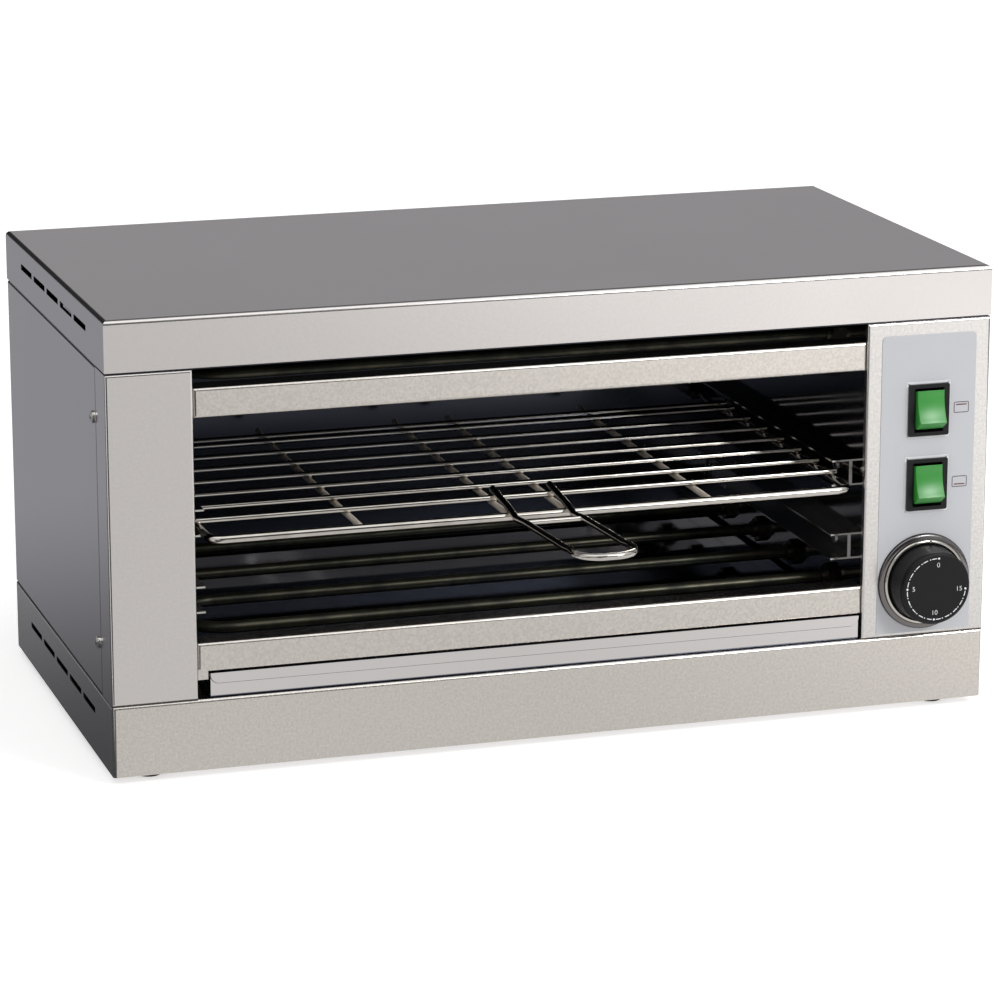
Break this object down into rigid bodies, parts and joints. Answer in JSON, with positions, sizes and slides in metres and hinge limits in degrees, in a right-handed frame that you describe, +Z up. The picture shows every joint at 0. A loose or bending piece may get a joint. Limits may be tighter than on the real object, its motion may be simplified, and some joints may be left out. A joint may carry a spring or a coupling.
{
  "type": "cheese melter",
  "caption": "Countertop cheese melter: open front chamber with tube heaters, sliding wire grid with loop handle, crumb tray, rocker switches and timer dial.",
  "frame": {"origin": "on the worktop, under the middle of the whole object's box, grid handle and cable gland included", "axes": "+X to the right seen from the front, +Y to the rear, +Z up; the open front faces -Y"},
  "size_m": [0.5244, 0.421, 0.263],
  "materials": {
    "casing_steel": "fine brushed stainless sheet, satin",
    "liner_steel": "polished sheet, mirror-like",
    "tray_steel": "bright polished sheet",
    "fitting_steel": "steel dulled by heat",
    "zinc_plate": "zinc plated and stainless, satin",
    "heater_sheath": "oxidised heater tube, dark olive grey, satin",
    "brass_fittings": "plain turned brass",
    "bright_chrome": "bright chrome plate",
    "overlay_film": "pale blue grey printed film, satin",
    "switch_black": "black moulded plastic, fine grain",
    "rocker_green": "translucent green plastic, gloss",
    "knob_black": "black moulded plastic, satin",
    "timer_case": "plated movement case",
    "foot_rubber": "black rubber, matt",
    "insulator_ceramic": "off-white ceramic, satin",
    "wire_insulation": "heat resistant insulation",
    "gland_black": "black moulded plastic"
  },
  "bodies": {
    "case": {"top_cover": "casing_steel", "base_tray": "casing_steel", "left_side_panel": "casing_steel", "right_side_panel": "casing_steel", "rear_panel": "casing_steel", "left_front_pillar": "casing_steel", "control_panel": "casing_steel", "upper_crossbar": "casing_steel", "lower_crossbar": "casing_steel", "bottom_plate": "casing_steel", "roof_plate": "liner_steel", "chamber_left_wall": "liner_steel", "chamber_right_wall": "liner_steel", "chamber_back_wall": "liner_steel", "upper_left_runner": "liner_steel", "upper_right_runner": "liner_steel", "lower_left_runner": "liner_steel", "lower_right_runner": "liner_steel", "heater_bushes": "fitting_steel", "heater_nuts": "fitting_steel", "heater_brackets": "fitting_steel", "cover_brackets": "zinc_plate", "cover_screws": "zinc_plate", "foot_screws": "zinc_plate", "foot_nuts": "zinc_plate", "side_panel_screws": "zinc_plate", "rear_panel_screws": "zinc_plate", "runner_rivets": "zinc_plate", "timer_screws": "zinc_plate", "terminal_screws": "zinc_plate", "heater_terminals": "zinc_plate", "upper_front_heater": "heater_sheath", "upper_rear_heater": "heater_sheath", "lower_front_heater": "heater_sheath", "lower_rear_heater": "heater_sheath", "switch_terminals": "brass_fittings", "earth_stud": "brass_fittings", "timer_ring": "bright_chrome", "control_overlay": "overlay_film", "upper_switch_housing": "switch_black", "lower_switch_housing": "switch_black", "timer_body": "timer_case", "feet": "foot_rubber", "heater_insulators": "insulator_ceramic", "terminal_block": "insulator_ceramic", "wiring": "wire_insulation", "cable_gland": "gland_black", "gland_nut": "gland_black"},
    "grid": {"grid_frame": "bright_chrome", "grid_cross_wires": "bright_chrome", "grid_depth_wires": "bright_chrome", "grid_handle": "bright_chrome"},
    "tray": {"crumb_tray": "tray_steel"},
    "upper_rocker_button": {"upper_rocker": "rocker_green"},
    "lower_rocker_button": {"lower_rocker": "rocker_green"},
    "dial": {"timer_knob": "knob_black", "timer_shaft": "zinc_plate"}
  },
  "joints": [
    {"name": "grid_slide", "type": "slide", "parent": "case", "child": "grid", "axis": [0, -1, 0], "range_m": [0, 0.19]},
    {"name": "tray_slide", "type": "slide", "parent": "case", "child": "tray", "axis": [0, -1, 0], "range_m": [0, 0.22]},
    {"name": "upper_rocker_tilt", "type": "hinge", "parent": "case", "child": "upper_rocker_button", "pos_m": [0.222, -0.0834, 0.18075], "axis": [1, 0, 0], "range_deg": [0, 30]},
    {"name": "lower_rocker_tilt", "type": "hinge", "parent": "case", "child": "lower_rocker_button", "pos_m": [0.222, -0.0834, 0.13655], "axis": [1, 0, 0], "range_deg": [0, 30]},
    {"name": "timer_turn", "type": "hinge", "parent": "case", "child": "dial", "pos_m": [0.2218, -0.087, 0.0785], "axis": [0, 1, 0], "range_deg": [0, 270]}
  ]
}
